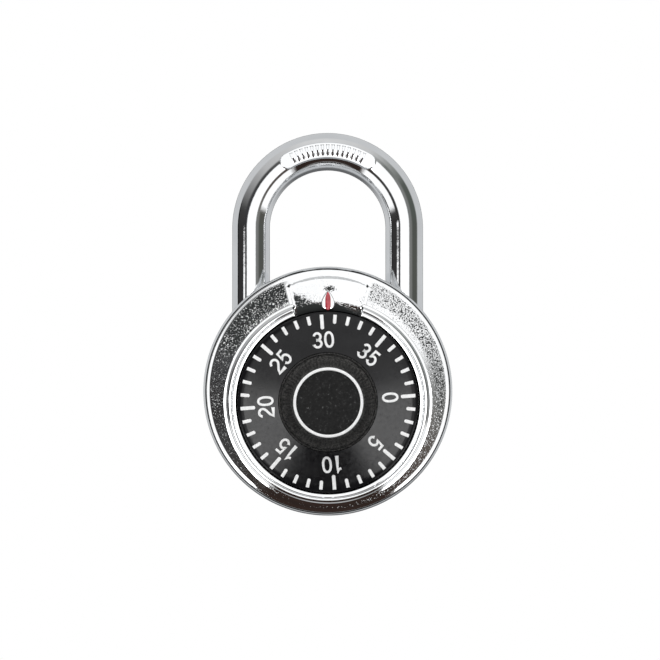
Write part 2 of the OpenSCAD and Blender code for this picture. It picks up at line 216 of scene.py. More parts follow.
class Nodes:
    """A node tree, with short ways to add nodes to it. Each value is a node's output or a constant."""

    def __init__(self, tree):
        self.tree = tree

    def feed(self, socket, value):
        if isinstance(value, bpy.types.NodeSocket):
            self.tree.links.new(value, socket)
        else:
            socket.default_value = rgba(value) if socket.type == "RGBA" else value

    def math(self, operation, *values):
        node = self.tree.nodes.new("ShaderNodeMath")
        node.operation = operation
        for socket, value in zip(node.inputs, values):
            self.feed(socket, value)
        return node.outputs[0]

    def ramp(self, value, stops):
        """A colour ramp through stops of (position, colour or grey)."""
        node = self.tree.nodes.new("ShaderNodeValToRGB")
        elements = node.color_ramp.elements
        while len(elements) < len(stops):
            elements.new(0.5)
        for element, (at, colour) in zip(elements, stops):
            element.position = at
            element.color = rgba(colour)
        self.feed(node.inputs["Fac"], value)
        return node.outputs["Color"]

    def mix(self, share, a, b):
        node = self.tree.nodes.new("ShaderNodeMix")
        node.data_type = "RGBA"
        for i, value in ((0, share), (6, a), (7, b)):
            self.feed(node.inputs[i], value)
        return node.outputs[2]


class Finish(Nodes):
    """A Principled material whose colour, roughness and relief come from noise in object space."""

    def __init__(self, name, colour, roughness, metallic=0.0, ior=1.5, coat=0.0):
        self.material = bpy.data.materials.new(name)
        self.material.use_nodes = True
        super().__init__(self.material.node_tree)
        self.shader = self.tree.nodes["Principled BSDF"].inputs
        for socket, value in (("Base Color", colour), ("Roughness", roughness),
                              ("Metallic", metallic), ("IOR", ior), ("Coat Weight", coat),
                              ("Coat Roughness", 0.04)):
            self.feed(self.shader[socket], value)
        self.place = self.tree.nodes.new("ShaderNodeTexCoord").outputs["Object"]
        self.relief = None

    def noise(self, grain_mm, detail=2.0, rough=0.5):
        node = self.tree.nodes.new("ShaderNodeTexNoise")
        for socket, value in (("Scale", 1 / (grain_mm * MM)), ("Detail", detail),
                              ("Roughness", rough), ("Vector", self.place)):
            self.feed(node.inputs[socket], value)
        return node.outputs["Fac"]

    def attribute(self, name):
        node = self.tree.nodes.new("ShaderNodeAttribute")
        node.attribute_name = name
        return node.outputs["Fac"]

    def colour(self, value, stops):
        self.feed(self.shader["Base Color"], self.ramp(value, stops))

    def roughness(self, value, stops):
        self.feed(self.shader["Roughness"], self.ramp(value, stops))

    def stain(self, share, colour):
        """Put another colour over the base colour, as far as share says; here it paints highlights,
        glints and shade.
        """
        base = self.shader["Base Color"]
        self.feed(base, self.mix(share, base.links[0].from_socket, colour))

    def bump(self, value, depth_mm):
        """Relief of the given depth in millimetres, on top of what is already there."""
        node = self.tree.nodes.new("ShaderNodeBump")
        self.feed(node.inputs["Distance"], depth_mm * MM)
        self.feed(node.inputs["Height"], value)
        if self.relief:
            self.feed(node.inputs["Normal"], self.relief)
        self.relief = node.outputs["Normal"]
        self.feed(self.shader["Normal"], self.relief)


def chrome(name, wave_mm=0.004):
    tint = (0.90, 0.91, 0.92)
    f = Finish(name, tint, 0.05, metallic=1)
    f.colour(f.noise(6), [(0.35, tuple(0.95 * c for c in tint)), (0.65, tint)])
    f.roughness(f.noise(0.5, 4, 0.7), [(0.4, 0.035), (0.62, 0.06), (0.75, 0.16)])
    f.bump(f.noise(1.1, 3), wave_mm)
    return f


def shackle_finish():
    """The bar's chrome shows the finest grain of the steel under it."""
    f = chrome("shackle_chrome", wave_mm=0.006)
    f.bump(f.noise(0.22, 2), 0.0012)
    return f


SAND_GRAIN = 0.26  # size of the sandblasted grain
SAND_RISE = 0.04
DENSITY_PUSH = 0.3  # how far a density of 1 moves the thresholds below
PAINTED_DARK_AT = (0.73, 0.77)
PAINTED_GLINT_AT = (0.91, 0.95)


def cover_finish():
    """Chrome that is sandblasted on the band and the index panel, so that it has raised grains, dark
    matt specks where the plating is not metallic, whose spread is painted dark reflection, and white
    specks that are painted glints. Three vertex attributes of the mesh say how much of each there is,
    so that the beads and the rim stay bright."""
    f = chrome("cover_chrome", wave_mm=0.003)
    sand = f.noise(SAND_GRAIN, 2.0, 0.6)
    raised = f.ramp(sand, [(0.59, 0), (0.75, 1)])
    f.bump(f.math("MULTIPLY", raised, f.attribute("grain")), SAND_RISE)
    # dark specks of painted reflection lie between the grains
    painted_dark_push = f.math("MULTIPLY", f.attribute("painted_dark_pits"), DENSITY_PUSH)
    hollow = f.math("SUBTRACT", f.math("ADD", painted_dark_push, 1.0), sand)
    painted_dark = f.ramp(hollow, [(PAINTED_DARK_AT[0], 0), (PAINTED_DARK_AT[1], 1)])
    f.stain(painted_dark, (0.034, 0.036, 0.036))
    # and white specks of painted glint on top of them
    painted_glint_push = f.math("MULTIPLY", f.attribute("painted_glints"), DENSITY_PUSH)
    painted_glint = f.ramp(f.math("ADD", painted_glint_push, sand), [(PAINTED_GLINT_AT[0], 0), (PAINTED_GLINT_AT[1], 1)])
    f.stain(painted_glint, (0.90, 0.91, 0.91))
    plated = f.math("SUBTRACT", 1.0, f.math("MAXIMUM", painted_dark, painted_glint))
    f.feed(f.shader["Metallic"], plated)
    f.feed(f.shader["Specular IOR Level"], f.math("MULTIPLY", plated, 0.5))
    return f


def dial_finish():
    f = Finish("dial_black", (0.008, 0.008, 0.009), 0.12, ior=1.34)
    f.colour(f.noise(3, 3), [(0.35, (0.005, 0.005, 0.006)), (0.7, (0.011, 0.011, 0.012))])
    f.roughness(f.noise(0.7, 4, 0.7), [(0.35, 0.08), (0.62, 0.16), (0.8, 0.3)])
    f.bump(f.noise(1.6, 3), 0.004)
    return f


def knob_finish():
    """Matt black with a few pale specks, and a grey mottle on the skirt that is painted sheen,
    lightening it.
    """
    f = Finish("knob_black", 0.020, 0.5, ior=1.24)
    f.colour(f.noise(0.45, 4, 0.7), [(0.35, 0.008), (0.57, 0.013), (0.65, 0.030),
                                     (0.73, (0.15, 0.15, 0.152))])
    # painted sheen: grey mottle that lightens the skirt
    skirt_sheen = f.ramp(f.noise(0.35, 3, 0.7), [(0.42, 0), (0.62, 1)])
    f.stain(f.math("MULTIPLY", skirt_sheen, f.attribute("skirt")), (0.075, 0.073, 0.070))
    f.roughness(f.noise(0.8, 4), [(0.3, 0.42), (0.7, 0.62)])
    f.bump(f.noise(0.35, 3), 0.03)
    return f


def paint_finish():
    f = Finish("ring_white", 0.86, 0.35)
    f.colour(f.noise(0.8, 4), [(0.3, 0.80), (0.6, 0.90)])
    f.bump(f.noise(0.25, 2), 0.004)
    return f


def enamel_finish():
    f = Finish("red_enamel", (0.60, 0.045, 0.06), 0.25, coat=0.6)
    f.colour(f.noise(0.7, 3), [(0.3, (0.34, 0.022, 0.035)), (0.65, (0.52, 0.06, 0.08))])
    f.bump(f.noise(0.4, 2), 0.006)
    return f


def metal(name, colour, roughness, grain_mm=0.3):
    """Bare metal of an inner part, a little darker where it is worn."""
    f = Finish(name, colour, roughness, metallic=1)
    f.colour(f.noise(2.5, 4), [(0.3, tuple(0.8 * c for c in colour)), (0.7, colour)])
    f.roughness(f.noise(grain_mm * 2, 3), [(0.3, 0.8 * roughness), (0.7, 1.3 * roughness)])
    f.bump(f.noise(grain_mm, 3), 0.004)
    return f


case_chrome = chrome("case_chrome").material
shackle_chrome = shackle_finish().material
cover_chrome = cover_finish().material
dial_black = dial_finish().material
knob_black = knob_finish().material
paint_white = paint_finish().material
red_enamel = enamel_finish().material
plate_steel = metal("plate_steel", (0.60, 0.57, 0.48), 0.32).material
turned_steel = metal("turned_steel", (0.62, 0.62, 0.63), 0.22, 0.15).material
lever_steel = metal("lever_steel", (0.42, 0.44, 0.48), 0.34).material
spring_steel = metal("spring_steel", (0.50, 0.50, 0.52), 0.25, 0.12).material
bush_brass = metal("bush_brass", (0.78, 0.56, 0.26), 0.28).material
wheel_brass = metal("wheel_brass", (0.80, 0.60, 0.28), 0.30).material

# ---------------- front cover

WELL_HOLE_R, WELL_Z, WELL_WALL = 3.6, 6.9, 0.8
LIP_R = DIAL_R + 0.25  # inner edge of the ring round the dial
LIP_RISE, LIP_SLOPE, LIP_W = 0.14, 0.14, 0.62
BEAD_R = (18.46, 19.4)  # inner and outer edge of the ring's bead
BEAD_RISE, BEAD_FOOT, GROOVE_DEPTH = 0.26, 0.08, 0.22
RING_R = 20.0  # outer edge of the ring, about the dial's axis
LEDGE_Z = 8.36  # step that runs round the ring and the panel
RING_FALL = 0.11  # outward slope of the ring
BAND_TOP_Z = 8.0  # band beside the ring, above the dial
BAND_SLOPE = (0.214, 0.306)  # outward fall of the band above the dial and below it
BAND_BLEND = 2.6  # how the slope changes from one to the other
BAND_EASE = 0.028  # how much flatter the band is on the right
BAND_EASE_AT = (35, 55), (118, 95)  # and where that begins and ends
BAND_END_R = CASE_R - 1.2  # where the band meets the rim, about the case centre
BAND_END_Z = 6.95
PANEL_TILT = math.radians(13.9)  # tilt of the panel's sides from upright
PANEL_SIDE = 2.03  # how far the sides would pass from the dial's axis
PANEL_TOP_R = CASE_R - 2.4  # the panel's top edge at its corners, about the case centre
PANEL_CROWN = 0.56  # how much further out that edge reaches in the middle
PANEL_CORNER_X = 7.3
PANEL_RISE = 0.5
PANEL_ROLL, PANEL_ROLL_W = 0.55, 2.8  # how far the panel falls to the dial, and over what width
STRIP_W, STRIP_RISE = 0.6, 0.12  # bright strip outside the panel's sides
PLATEAU_FALL = 0.09  # how the strip and the panel fall outwards
DIMPLE_R = 19.3  # the lower dimples, about the dial's axis
DIMPLE_DEPTH, DIMPLE_SPREAD = 0.05, 0.06
SEAM_IN = 0.62  # how far inside the rim's edge the seam begins
SEAM_W, SEAM_Z = 0.22, BAND_END_Z - 0.5
EDGE_ROLL = 0.1  # radius of the bright edge beside the seam
LIP_ROLL = 1.6  # radius of the lip outside the seam
SKIRT_ROLL = 0.35


def ring_relief(r):
    """Height of the ring above the ledge: its lip, a fine groove and its bead."""
    if r < BEAD_R[0]:
        lip = LIP_RISE * smooth(LIP_R - 0.05, LIP_R + 0.15, r)
        lip += LIP_SLOPE * min(max(r - LIP_R - 0.1, 0), LIP_W)
        return lip - GROOVE_DEPTH * smooth(BEAD_R[0] - 0.16, BEAD_R[0], r)
    t = (r - sum(BEAD_R) / 2) / ((BEAD_R[1] - BEAD_R[0]) / 2)
    bead = BEAD_RISE * math.sqrt(max(0, 1 - t * t))
    return bead + BEAD_FOOT * smooth(BEAD_R[1] + 0.12, BEAD_R[1], r)


def round_dial(x, y):
    """A place as seen from the dial's axis: offsets, radius, and degrees clockwise from the top."""
    dx, dy = x - DIAL[0], y - DIAL[1]
    return dx, dy, math.hypot(dx, dy), math.degrees(math.atan2(dx, dy))


def past_side(x, y):
    """Distance outside the panel's nearer side."""
    dx, dy = x - DIAL[0], y - DIAL[1]
    return abs(dx) * math.cos(PANEL_TILT) - dy * math.sin(PANEL_TILT) - PANEL_SIDE


def past_top(x, y):
    """Distance outside the panel's top edge, and how wide the slope down from the edge is."""
    lens = 1 - min(abs(x) / PANEL_CORNER_X, 1) ** 2
    return math.hypot(x, y) - PANEL_TOP_R - PANEL_CROWN * lens, 0.06 + 0.5 * lens


def side_angle(offset, r):
    """Angle about the dial's axis at which a line beside the panel's side has the radius r."""
    return PANEL_TILT + math.asin((PANEL_SIDE + offset) / max(r, LIP_R - 0.1))


def on_column(column, r):
    """A point of a column at the radius r. A column is (angle, None, None), or else (angle, side,
    offset) for a line that runs beside one of the panel's sides."""
    a, side, offset = column
    if side:
        a = side * side_angle(offset, r)
    return DIAL[0] + r * math.sin(a), DIAL[1] + r * math.cos(a)


def to_case(column, radius):
    """Distance along a column at which it crosses the circle of that radius about the case."""
    r = radius
    for _ in range(12):
        r += radius - math.hypot(*on_column(column, r))
    return r


PANEL_EDGE = (None, 1, 0)
DIMPLES = [on_column(PANEL_EDGE, DIMPLE_R),
           on_column(PANEL_EDGE, to_case(PANEL_EDGE, PANEL_TOP_R - 0.05))]


def dimple(x, y):
    """1 in the middle of the dimples where the panel's four corners were pressed."""
    return sum(math.exp(-((abs(x) - cx) ** 2 + (y - cy) ** 2) / DIMPLE_SPREAD) for cx, cy in DIMPLES)


def cover_height(x, y):
    """Height of the cover's pressed face."""
    rd, away = round_dial(x, y)[2:]
    # the band is straight from the ring to the rim, along each line from the dial's axis
    below = 0.5 + 0.5 * math.cos(math.radians(away))
    along = DIAL[1] * math.cos(math.radians(away))
    reach = -along + math.sqrt(max(along * along + BAND_END_R ** 2 - DIAL_DROP ** 2, 0))
    share = min(max((rd - RING_R) / max(reach - RING_R, 0.1), 0), 1)
    fall = BAND_SLOPE[1] + (BAND_SLOPE[0] - BAND_SLOPE[1]) * below ** BAND_BLEND
    fall -= BAND_EASE * window(away, *BAND_EASE_AT)
    band = BAND_END_Z + fall * (reach - RING_R) * (1 - share)
    side, (top, slope) = past_side(x, y), past_top(x, y)
    # the ring, and the bright strip that runs from it up beside the panel
    plateau = BAND_TOP_Z - PLATEAU_FALL * max(rd - RING_R, 0)
    up = smooth(0, -slope, top)
    ledge = LEDGE_Z - RING_FALL * (rd - LIP_R)
    if rd > RING_R:
        ledge = band + (plateau + STRIP_RISE - band) * up
    z = band + (ledge - band) * smooth(0.06, 0, min(rd - RING_R, side - STRIP_W))
    if rd < RING_R - 0.4:
        z += ring_relief(rd) * smooth(-0.02, 0.25, side)
    # the panel stands up from the strip and rolls down to the dial
    roll = PANEL_ROLL * (1 - min(max((rd - LIP_R + 0.1) / PANEL_ROLL_W, 0), 1)) ** 3
    panel = band + (plateau + PANEL_RISE - band) * up - roll
    z += (panel - z) * smooth(0.02, -0.02, side)
    return z - DIMPLE_DEPTH * dimple(x, y)


PANEL_FROST_IN = 0.75  # where the panel's raised grain begins, inside its sides
# Where the grain is flatter or taller: a direction, the cosines from it at which that begins and
# is complete, and by what share
GRAIN_CHANGES = [(-105, 0.1, 0.7, -0.85), (-36, 0.8, 0.95, 0.8), (150, 0.5, 0.9, -0.5)]
PAINTED_DARK_SPOT, PAINTED_DARK_SPOT_SIZE = (0.35, 21.8), (1.3, 0.6)  # painted dark reflection spot above the pointer, from the dial's axis
# painted shade: density of dark specks along the panel's sides, in its corner dimples and in the rim's
# seam
LINE_PAINTED_SHADE, CORNER_PAINTED_SHADE, SEAM_PAINTED_SHADE = 0.75, 2.2, 2.5
ACROSS_FROM_R = 20.6  # inner end of the measure across the band


def panel_marks(dx, dy, rd, side, top):
    """Painted dark reflection and painted glints of the panel. The painted dark lies at its foot and up
    along its left side.
    """
    dark_to = 18.1 - 0.65 * dx if dx < 0 else 20.3 - 0.5 * max(dx, 1.5)
    inside = smooth(-0.35, -0.6, side)
    painted_dark_pits = 1.15 * smooth(dark_to + 0.7, dark_to - 1.3, rd) * inside
    painted_dark_pits += 0.7 * smooth(19.1, 18.5, rd)
    # painted dark reflection spot above the pointer
    painted_dark_pits += 1.4 * math.exp(-((dx - PAINTED_DARK_SPOT[0]) / PAINTED_DARK_SPOT_SIZE[0]) ** 2
                           - ((dy - PAINTED_DARK_SPOT[1]) / PAINTED_DARK_SPOT_SIZE[1]) ** 2)
    if dx > 0:  # a few along the right side
        painted_dark_pits += 0.45 * smooth(-1.3, -0.5, side) * smooth(22, 21, rd)
    painted_glints = (1.0 if dx < 0 else 0.85) * smooth(18.3, 19.0, rd) * inside
    return painted_dark_pits * smooth(-0.3, -0.5, top), painted_glints


def band_marks(away, rd, across, side):
    """Painted dark reflection and painted glints of the band. Its left is painted black beside the
    panel, with painted glints in it. On its right the painted dark specks are thinner and keep away
    from the ring."""
    off_ring, off_strip = smooth(RING_R, RING_R + 0.15, rd), smooth(STRIP_W, STRIP_W + 0.25, side)
    left = 1.2 * window(away, (-104, -84), (-14, -22)) * (1 - 0.56 * smooth(-56, -74, away))
    left *= 1 - (0.65 - 0.4 * smooth(-40, -60, away)) * smooth(21.2, 20.1, rd)
    left *= off_ring * smooth(1.05, 0.8, across)
    right = 0.72 + 0.12 * smooth(30, 60, away) - 0.1 * smooth(58, 70, away)
    right *= window(away, (14, 19), (120, 92)) * smooth(20.4, 21.5, rd + 0.3 * smooth(45, 75, away))
    right *= smooth(1.05, 0.9, across)
    # the painted glints leave a dark gap, crowd beside the ring and get rarer further down
    painted_glints = 1.08 * smooth(-14, -20, away) * (1 - 0.4 * math.exp(-((away + 53) / 3) ** 2))
    painted_glints += 0.3 * smooth(21.1, 20.3, rd) * window(away, (-56, -46), (-14, -25))
    painted_glints *= (1 - 0.2 * smooth(-60, -68, away)) * smooth(-108, -96, away)
    painted_glints *= off_ring * smooth(1.05, 0.9, across)
    return (left + right) * off_strip, painted_glints * off_strip


def cover_marks(x, y):
    """The height of the sandblasted grain, and the density of dark specks of painted reflection and
    shade and of painted glints. 0 is none and 1 is the full measure."""
    dx, dy, rd, away = round_dial(x, y)
    rc, side, top = math.hypot(x, y), past_side(x, y), past_top(x, y)[0]
    on_panel = smooth(-PANEL_FROST_IN, -PANEL_FROST_IN - 0.12, side) * smooth(-0.6, -0.8, top)
    on_panel *= smooth(18.1, 18.8, rd) * smooth(0.8, -0.8, rd - 20.1 + 0.26 * dx)
    grain = max(smooth(0.02, 0.2, min(rd - RING_R, side - STRIP_W)), on_panel)
    grain *= smooth(BAND_END_R, BAND_END_R - 0.25, rc)
    for direction, start, full, change in GRAIN_CHANGES:
        grain *= 1 + change * smooth(start, full, math.cos(math.radians(away - direction)))
    if side < 0:
        painted_dark_pits, painted_glints = panel_marks(dx, dy, rd, side, top)
    else:
        across = (rc - ACROSS_FROM_R) / (BAND_END_R - ACROSS_FROM_R)
        painted_dark_pits, painted_glints = band_marks(away, rd, across, side)
    # painted shade: a fine dark line along the panel's sides, and at its four corners
    if rd > DIMPLE_R - 0.1 and top < 0:
        painted_dark_pits = max(painted_dark_pits, LINE_PAINTED_SHADE * smooth(0.09, 0.03, abs(side)))
    return grain, max(painted_dark_pits, CORNER_PAINTED_SHADE * dimple(x, y)), painted_glints


PANEL_LINES = [-1.3, -1.1, -0.95, -0.85, -0.78, -0.7, -0.55, -0.4, -0.28, -0.2, -0.13, -0.07, -0.02,
               0.02, 0.07, 0.13, 0.2, 0.28, 0.4, 0.5, 0.55, 0.6, 0.66, 0.72, 0.85, 0.86, 0.95, 1.1, 1.3]
POINTER_LINES = 20  # finer columns on either side of the pointer
POINTER_STEP = 0.32  # and their angle in degrees
COLUMN_GAP = math.radians(0.12)  # least angle between two columns


def cover_columns():
    """Columns of the cover's mesh. Near the panel they run beside its sides."""
    margin = math.radians(0.3)
    near = side_angle(PANEL_LINES[0], 26) - margin
    far = side_angle(PANEL_LINES[-1], 0) + margin
    turns = [math.tau * i / SEGMENTS for i in range(SEGMENTS)]
    turns = [a - math.tau if a > math.pi else a for a in turns]
    columns = [(a, None, None) for a in turns if not near < abs(a) < far]
    columns += [(side * side_angle(offset, RING_R), side, offset)
                for side in (-1, 1) for offset in PANEL_LINES]
    columns += [(math.radians(i * POINTER_STEP), None, None)
                for i in range(-POINTER_LINES, POINTER_LINES + 1)]
    columns = sorted(set(columns), key=lambda c: c[0])
    kept = [columns[0]]
    for c in columns[1:]:
        if c[0] - kept[-1][0] > COLUMN_GAP or c[1]:
            kept.append(c)
    return kept


def rim_outline():
    """The rim from the band, over its bright edge, the seam and the rolled lip outside it, and down
    the skirt, about the case centre."""
    seam = CASE_R - SEAM_IN
    outline = [(BAND_END_R + 0.06, BAND_END_Z - 0.007), (seam - 0.4, BAND_END_Z - 0.03),
               (seam - 0.2, BAND_END_Z - 0.055)]
    outline += arc(seam - EDGE_ROLL, BAND_END_Z - 0.07 - EDGE_ROLL, EDGE_ROLL, 80, 0, 5)
    outline += [(seam + 0.01, SEAM_Z), (seam + SEAM_W, SEAM_Z)]
    start = math.acos(1 - (SEAM_IN - SEAM_W - 0.01) / LIP_ROLL)
    outline += arc(CASE_R - LIP_ROLL, SEAM_Z + 0.1 - LIP_ROLL * math.sin(start), LIP_ROLL,
                   math.degrees(start), 0, 8)
    outline += arc(CASE_R - SKIRT_ROLL, SKIRT_Z + SKIRT_ROLL, SKIRT_ROLL, 0, -80, 5)
    outline += [(SHELL_R + 0.03, SKIRT_Z + 0.02), (SHELL_R + 0.01, CASE_FRONT_Z + 0.02),
                (BAND_END_R - 1, CASE_FRONT_Z + 0.02)]
    return outline


def face_plan():
    """Rows of the pressed face as (radius, share). Without a share, the radius is about the dial's
    axis. With a share of 1 it is about the case, and the rows between the two spread evenly."""
    dial_rows = [LIP_R, LIP_R + 0.05]
    dial_rows += [LIP_R + 0.1 + 0.075 * i for i in range(9)]
    dial_rows += [BEAD_R[0] + 0.047 * i for i in range(21)]
    dial_rows += [RING_R + d for d in (-0.55, -0.5, -0.42, -0.3, -0.2, -0.13, -0.06, 0, 0.03, 0.06,
                                       0.1, 0.17, 0.25, 0.35)]
    case_rows = [PANEL_TOP_R + d for d in (-0.9, -0.65, -0.5, -0.4, -0.32, -0.24)]
    case_rows += [PANEL_TOP_R - 0.17 + 0.07 * i for i in range(12)]
    case_rows += [PANEL_TOP_R + d for d in (0.7, 0.85, 1.05)] + [BAND_END_R]
    between = 16
    plan = [(radius, None) for radius in dial_rows]
    plan += [(case_rows[0], (i + 1) / (between + 1)) for i in range(between)]
    plan += [(radius, 1) for radius in case_rows]
    return plan, dial_rows[-1]


def cover_mesh():
    """Points and faces of the cover, and the values of its three vertex attributes."""
    columns = cover_columns()
    rows, marks = [], []

    def plain_row(points_at, z, painted_dark_pits=0.0):
        rows.append([(*on_column(c, points_at(c)), z) for c in columns])
        marks.extend([(0.0, painted_dark_pits, 0.0)] * len(columns))

    # the well's floor ends in a bevel, which keeps the gap round the dial dark
    for r, z in ((WELL_HOLE_R, WELL_Z - WELL_WALL), (WELL_HOLE_R, WELL_Z), (LIP_R - 0.5, WELL_Z),
                 (LIP_R - 0.03, WELL_Z + 0.6), (LIP_R - 0.03, WELL_Z + 1)):
        plain_row(lambda c: r, z)
    reach = [0.0] * len(columns)
    plan, last_dial_row = face_plan()
    for radius, share in plan:
        row = []
        for k, c in enumerate(columns):
            r = to_case(c, radius) if share else radius
            if share:
                r = last_dial_row + share * (r - last_dial_row) if share < 1 else r
            if radius != BAND_END_R:
                r = max(r, reach[k] + 0.005)  # rows never cross, nor do their points meet
            reach[k] = r
            x, y = on_column(c, r)
            row.append((x, y, cover_height(x, y)))
            marks.append(cover_marks(x, y))
        rows.append(row)
    for radius, z in rim_outline():
        # the seam's floor gets painted shade
        plain_row(lambda c: to_case(c, radius), z, SEAM_PAINTED_SHADE if z == SEAM_Z else 0.0)
    points, faces = grid(rows, closed_rows=True)
    return points, faces, dict(zip(("grain", "painted_dark_pits", "painted_glints"), zip(*marks)))


points, faces, marks = cover_mesh()
cover = solid("cover_face", points, faces, sharp=50)
for name, values in marks.items():
    give_attribute(cover, name, values)
finish_piece(cover, cover_chrome, "lock_case", "cover_chrome", "front_cover")

# ---------------- index pointer


BOSS_Z = -mark_y[1]
BOSS_SLOPE = 0.10  # the boss leans outwards with the panel
BOSS_FOOT_R, BOSS_L, BOSS_HALF_W = 17.7, 3.8, 1.28
POINTER_DROP, POINTER_LONGER = 0.12, 0.05  # how much lower and longer the enamel is than in the CAD


def boss_mesh():
    """The raised pointed oval that carries the red pointer."""
    n = 40
    outline = []
    for i in range(2 * n):
        t = i / n if i < n else 2 - i / n
        wide = BOSS_HALF_W * math.sin(math.pi * t ** 0.64) ** 0.8 * (1 if i < n else -1) if t else 0
        outline.append((wide, BOSS_FOOT_R + BOSS_L * t))
    rows = []
    for inset, drop in ((0, 0.8), (0, 0.1), (0.03, 0.04), (0.09, 0.005), (0.2, 0)):
        row = []
        for u, v in outline:
            u -= math.copysign(min(inset, abs(u)), u)
            v += 1.5 * inset * (1 - 2 * (v - BOSS_FOOT_R) / BOSS_L)
            row.append((u, DIAL[1] + v, BOSS_Z - BOSS_SLOPE * (v - BOSS_FOOT_R) - drop))
        rows.append(row)
    return grid(rows)


finish_piece(solid("index_boss", *boss_mesh(), sharp=60), case_chrome, "lock_case",
             "case_chrome")


def pointer_mesh():
    """A domed lens of enamel with a sharp top and a blunter foot."""
    x0, y0 = sum(mark_x) / 2, sum(mark_z) / 2 - CASE_CENTRE_Z - POINTER_DROP
    half_l = (mark_z[1] - mark_z[0]) / 2 + POINTER_LONGER
    half_w = (mark_x[1] - mark_x[0]) / 2
    n = 48
    outline = []
    for i in range(n):
        t = math.tau * i / n
        v = math.cos(t)
        wide = 1 - v ** 2.8 if v > 0 else math.sqrt(1 - v ** 6)
        outline.append((half_w * math.copysign(wide, math.sin(t)), half_l * v))
    base, top = -mark_y[1] - 0.06, -mark_y[0]
    rows = []
    for scale, z in ((1, base), (1, base + 0.1), (0.94, base + 0.15), (0.8, top - 0.03),
                     (0.5, top - 0.008), (0.2, top)):
        rows.append([(x0 + scale * u, y0 + (1 - (1 - scale) * 0.35) * v,
                      z - BOSS_SLOPE * (v + half_l)) for u, v in outline])
    return grid(rows)


pointer = solid("pointer_enamel", *pointer_mesh(), sharp=60)
finish_piece(pointer, red_enamel, "lock_case", "red_enamel", "index_mark")

# ---------------- rear case

WALL = 0.9
BACK_CORNER = 3.0
HOLE_R = BAR_R + 0.2
PRESS_R = SHELL_R - 5.6  # edge of the shallow pressing in the back
PRESS_DEPTH = 0.3

outside = [(PRESS_R - 0.9, BACK_Z + PRESS_DEPTH), (PRESS_R - 0.5, BACK_Z + 0.85 * PRESS_DEPTH),
           (PRESS_R, BACK_Z + 0.15 * PRESS_DEPTH), (PRESS_R + 0.4, BACK_Z)]
outside += arc(SHELL_R - BACK_CORNER, BACK_Z + BACK_CORNER, BACK_CORNER, -90, 0, 16)
outside += [(SHELL_R, CASE_FRONT_Z)]
inside = [(SHELL_R - WALL, CASE_FRONT_Z)]
inside += arc(SHELL_R - BACK_CORNER, BACK_Z + BACK_CORNER, BACK_CORNER - WALL, 0, -90, 8)
inside += [(PRESS_R - 0.9, BACK_Z + WALL)]
rear = lathe("rear_shell", [(0.02, BACK_Z + PRESS_DEPTH)] + outside + inside
             + [(0.02, BACK_Z + WALL)], ring=True)
turns = [math.tau * i / 96 for i in range(96)]
subtract(rear, [solid("hole", *grid([[(x + HOLE_R * math.cos(a), y, HOLE_R * math.sin(a))
                                      for a in turns] for y in (6, SHELL_R + 2)]))
                for x in (-LEG_X, LEG_X)])
finish_piece(rear, case_chrome, "lock_case", "case_chrome", "rear_case")

# ---------------- shackle

PAD_MIDDLE_R = 15.0
PAD_HALF_W = 1.5
PAD_HALF = math.radians(31)
PAD_Z = BAR_R + 0.3
RIBS, RIB_PITCH = 15, PAD_MIDDLE_R * math.radians(3.8)
RIB_RISE = 0.26
FINE_HALF_W, FINE_POINTS = 2.1, 57  # finer points of the bar's section, across the pad
CHAMFER = 0.8
TOE_END_Y = 9.3
NOTCH_Y = (12.6, 15.5)
NOTCH_DEPTH = 1.65
LIP_DEPTH = 0.3
COLLAR_Y = (-10.0, -8.9)
COLLAR_GROOVE_R = 2.7


def pad_height(u, s):
    """Height of the pad's top over the bow, at u from its middle line and s along it, and how
    much of it is there."""
    over = max(abs(s) - PAD_MIDDLE_R * PAD_HALF, 0)
    inside = PAD_HALF_W - math.hypot(u, over)
    at = s / RIB_PITCH
    rib = 0
    if abs(round(at)) <= RIBS // 2:
        rib = RIB_RISE * smooth(0.3, 0.16, abs(at - round(at)) * RIB_PITCH)
        # a rib ends square at its upper end, and its lower half is a ramp
        rib *= smooth(1.12, 0.95, u) * min(max((u + 1.1) / 1.2, 0), 1)
    return PAD_Z + rib, smooth(-0.07, 0.09, inside)


